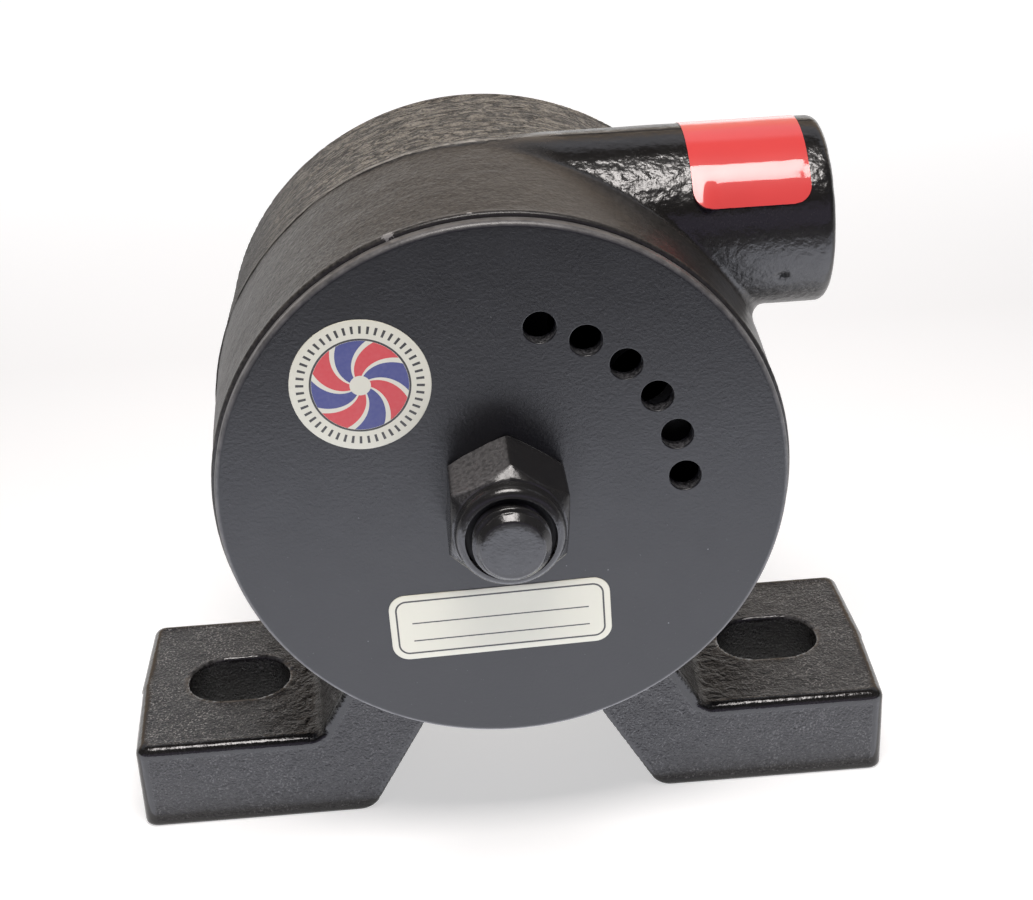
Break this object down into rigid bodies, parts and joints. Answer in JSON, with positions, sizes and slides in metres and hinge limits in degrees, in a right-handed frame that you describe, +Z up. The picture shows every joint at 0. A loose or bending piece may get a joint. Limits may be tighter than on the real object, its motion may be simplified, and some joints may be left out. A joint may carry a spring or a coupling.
{
  "type": "pneumatic vibration motor",
  "caption": "Foot-mounted air turbine vibrator: cast drum with slotted feet, tangential air inlet, exhaust holes in the round cover and an unbalanced wheel spinning on a fixed stud.",
  "frame": {"origin": "middle of the foot plane, under the middle of the drum", "axes": "+Z up from the feet; the drum axis and stud run along Y, the front cover with the exhaust holes faces -Y; +X points out of the air inlet"},
  "size_m": [0.1392, 0.1062, 0.1205],
  "materials": {
    "cast_black_paint": "semi-gloss black paint over a rough sand casting",
    "cover_paint": "smooth satin black paint",
    "hardware_black": "gloss black paint over steel",
    "insert_nylon": "dark nylon, painted over",
    "seal_rubber": "black nitrile rubber",
    "wheel_aluminium": "machined, then black hard anodised",
    "slug_steel": "turned steel",
    "spring_steel": "phosphated spring steel",
    "bearing_steel": "ground bearing steel",
    "ball_steel": "polished balls",
    "cage_brass": "machined brass",
    "label_cream": null,
    "label_red": "gloss red vinyl sticker, blank"
  },
  "bodies": {
    "stator": {"housing": "cast_black_paint", "front_cover": "cover_paint", "rear_cover": "cover_paint", "front_cover_seal": "seal_rubber", "rear_cover_seal": "seal_rubber", "center_stud": "hardware_black", "front_lock_nut": "hardware_black", "rear_lock_nut": "hardware_black", "front_lock_nut_insert": "insert_nylon", "rear_lock_nut_insert": "insert_nylon", "front_bearing_inner_race": "bearing_steel", "rear_bearing_inner_race": "bearing_steel", "bearing_spacer": "slug_steel", "front_spacer": "slug_steel", "rear_spacer": "slug_steel", "round_label": "label_cream", "info_label": "label_cream", "inlet_label": "label_red"},
    "rotor": {"turbine_wheel": "wheel_aluminium", "unbalance_slugs": "slug_steel", "front_snap_ring": "spring_steel", "rear_snap_ring": "spring_steel", "front_bearing_outer_race": "bearing_steel", "front_bearing_seals": "seal_rubber", "rear_bearing_outer_race": "bearing_steel", "rear_bearing_seals": "seal_rubber"},
    "front_ball_set": {"front_bearing_balls": "ball_steel", "front_bearing_cage": "cage_brass"},
    "rear_ball_set": {"rear_bearing_balls": "ball_steel", "rear_bearing_cage": "cage_brass"}
  },
  "joints": [
    {"name": "turbine_spin", "type": "hinge", "parent": "stator", "child": "rotor", "pos_m": [0, 0, 0.0712], "axis": [0, -1, 0], "continuous": true},
    {"name": "front_ball_roll", "type": "hinge", "parent": "stator", "child": "front_ball_set", "pos_m": [0, -0.014, 0.0712], "axis": [0, -1, 0], "continuous": true},
    {"name": "rear_ball_roll", "type": "hinge", "parent": "stator", "child": "rear_ball_set", "pos_m": [0, 0.014, 0.0712], "axis": [0, -1, 0], "continuous": true}
  ],
  "couplings": [
    {"joint": "front_ball_roll", "follows": "turbine_spin", "ratio": 0.61825},
    {"joint": "rear_ball_roll", "follows": "turbine_spin", "ratio": 0.61825}
  ]
}
